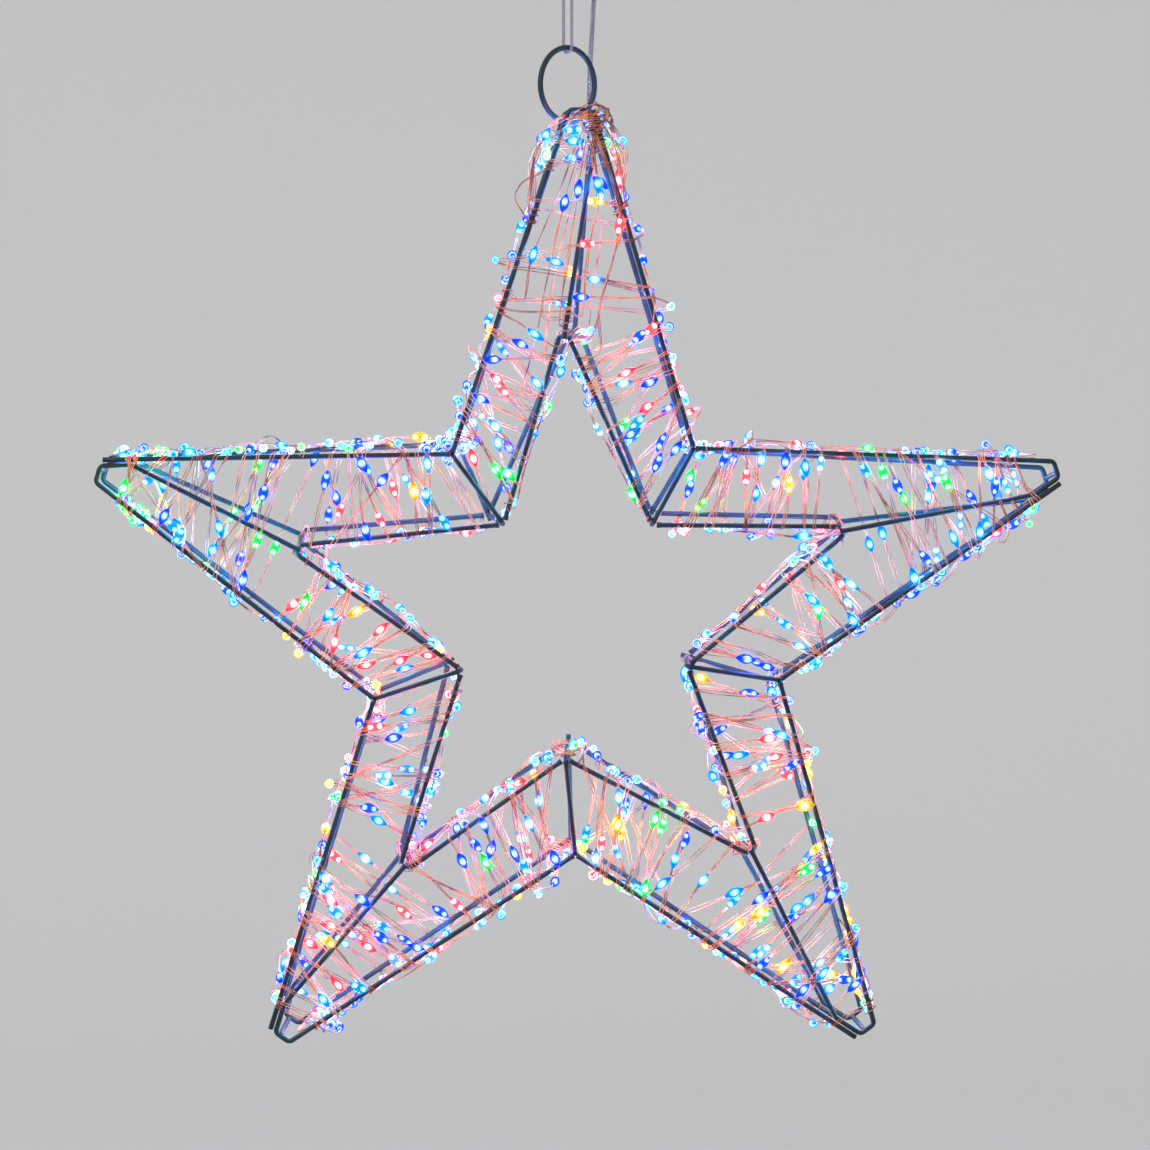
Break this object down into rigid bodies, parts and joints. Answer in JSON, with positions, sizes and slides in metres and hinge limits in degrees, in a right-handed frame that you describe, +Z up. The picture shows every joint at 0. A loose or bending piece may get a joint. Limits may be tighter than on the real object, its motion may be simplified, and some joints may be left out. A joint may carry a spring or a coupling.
{
  "type": "led christmas star",
  "caption": "Hanging five-armed star of bent black steel rod, wound with micro lights on copper wire, on a wire ring with a clear hanging cord and a clear low-voltage lead.",
  "frame": {"origin": "the hanging point: inside the top of the hanging ring, where the clear cord bears", "axes": "+Z up, front face towards -Y, +X to the right as seen from the front"},
  "size_m": [0.3844, 0.0478, 0.4732],
  "materials": {
    "lacquer": "gloss black lacquer on steel rod",
    "copper": "enamelled copper wire",
    "bead": "clear resin round a lit diode",
    "clear_cord": "clear flexible plastic",
    "shrink_sleeve": "pale heat-shrink sleeve",
    "moulded_plastic": "pale moulded plastic"
  },
  "bodies": {
    "hanger": {"hanging_ring": "lacquer", "hanging_cord": "clear_cord", "hanging_knot": "clear_cord", "lead_cord": "clear_cord", "lead_splice": "shrink_sleeve", "lead_coil": "clear_cord", "coil_tie": "moulded_plastic", "lead_plug": "moulded_plastic"},
    "star": {"front_arm_loop_top": "lacquer", "back_arm_loop_top": "lacquer", "front_edge_rod_top": "lacquer", "back_edge_rod_top": "lacquer", "inner_hairpin_left_top": "lacquer", "inner_hairpin_right_top": "lacquer", "tip_spacer_top": "lacquer", "front_arm_loop_upper_right": "lacquer", "back_arm_loop_upper_right": "lacquer", "front_edge_rod_upper_right": "lacquer", "back_edge_rod_upper_right": "lacquer", "inner_hairpin_left_upper_right": "lacquer", "inner_hairpin_right_upper_right": "lacquer", "tip_spacer_upper_right": "lacquer", "front_arm_loop_lower_right": "lacquer", "back_arm_loop_lower_right": "lacquer", "front_edge_rod_lower_right": "lacquer", "back_edge_rod_lower_right": "lacquer", "inner_hairpin_left_lower_right": "lacquer", "inner_hairpin_right_lower_right": "lacquer", "tip_spacer_lower_right": "lacquer", "front_arm_loop_lower_left": "lacquer", "back_arm_loop_lower_left": "lacquer", "front_edge_rod_lower_left": "lacquer", "back_edge_rod_lower_left": "lacquer", "inner_hairpin_left_lower_left": "lacquer", "inner_hairpin_right_lower_left": "lacquer", "tip_spacer_lower_left": "lacquer", "front_arm_loop_upper_left": "lacquer", "back_arm_loop_upper_left": "lacquer", "front_edge_rod_upper_left": "lacquer", "back_edge_rod_upper_left": "lacquer", "inner_hairpin_left_upper_left": "lacquer", "inner_hairpin_right_upper_left": "lacquer", "tip_spacer_upper_left": "lacquer", "notch_hoop_upper_right": "lacquer", "notch_hoop_lower_right": "lacquer", "notch_hoop_bottom": "lacquer", "notch_hoop_lower_left": "lacquer", "notch_hoop_upper_left": "lacquer", "light_string_arm_top": "copper", "light_string_limb_top": "copper", "light_string_arm_upper_right": "copper", "light_string_limb_upper_right": "copper", "light_string_arm_lower_right": "copper", "light_string_limb_lower_right": "copper", "light_string_arm_lower_left": "copper", "light_string_limb_lower_left": "copper", "light_string_arm_upper_left": "copper", "light_string_limb_upper_left": "copper", "string_start_wraps": "copper"}
  },
  "joints": [
    {"name": "star_swing", "type": "hinge", "parent": "hanger", "child": "star", "pos_m": [0.00445, 0, -0.02388], "axis": [0, 1, 0], "range_deg": [-45, 45]}
  ]
}
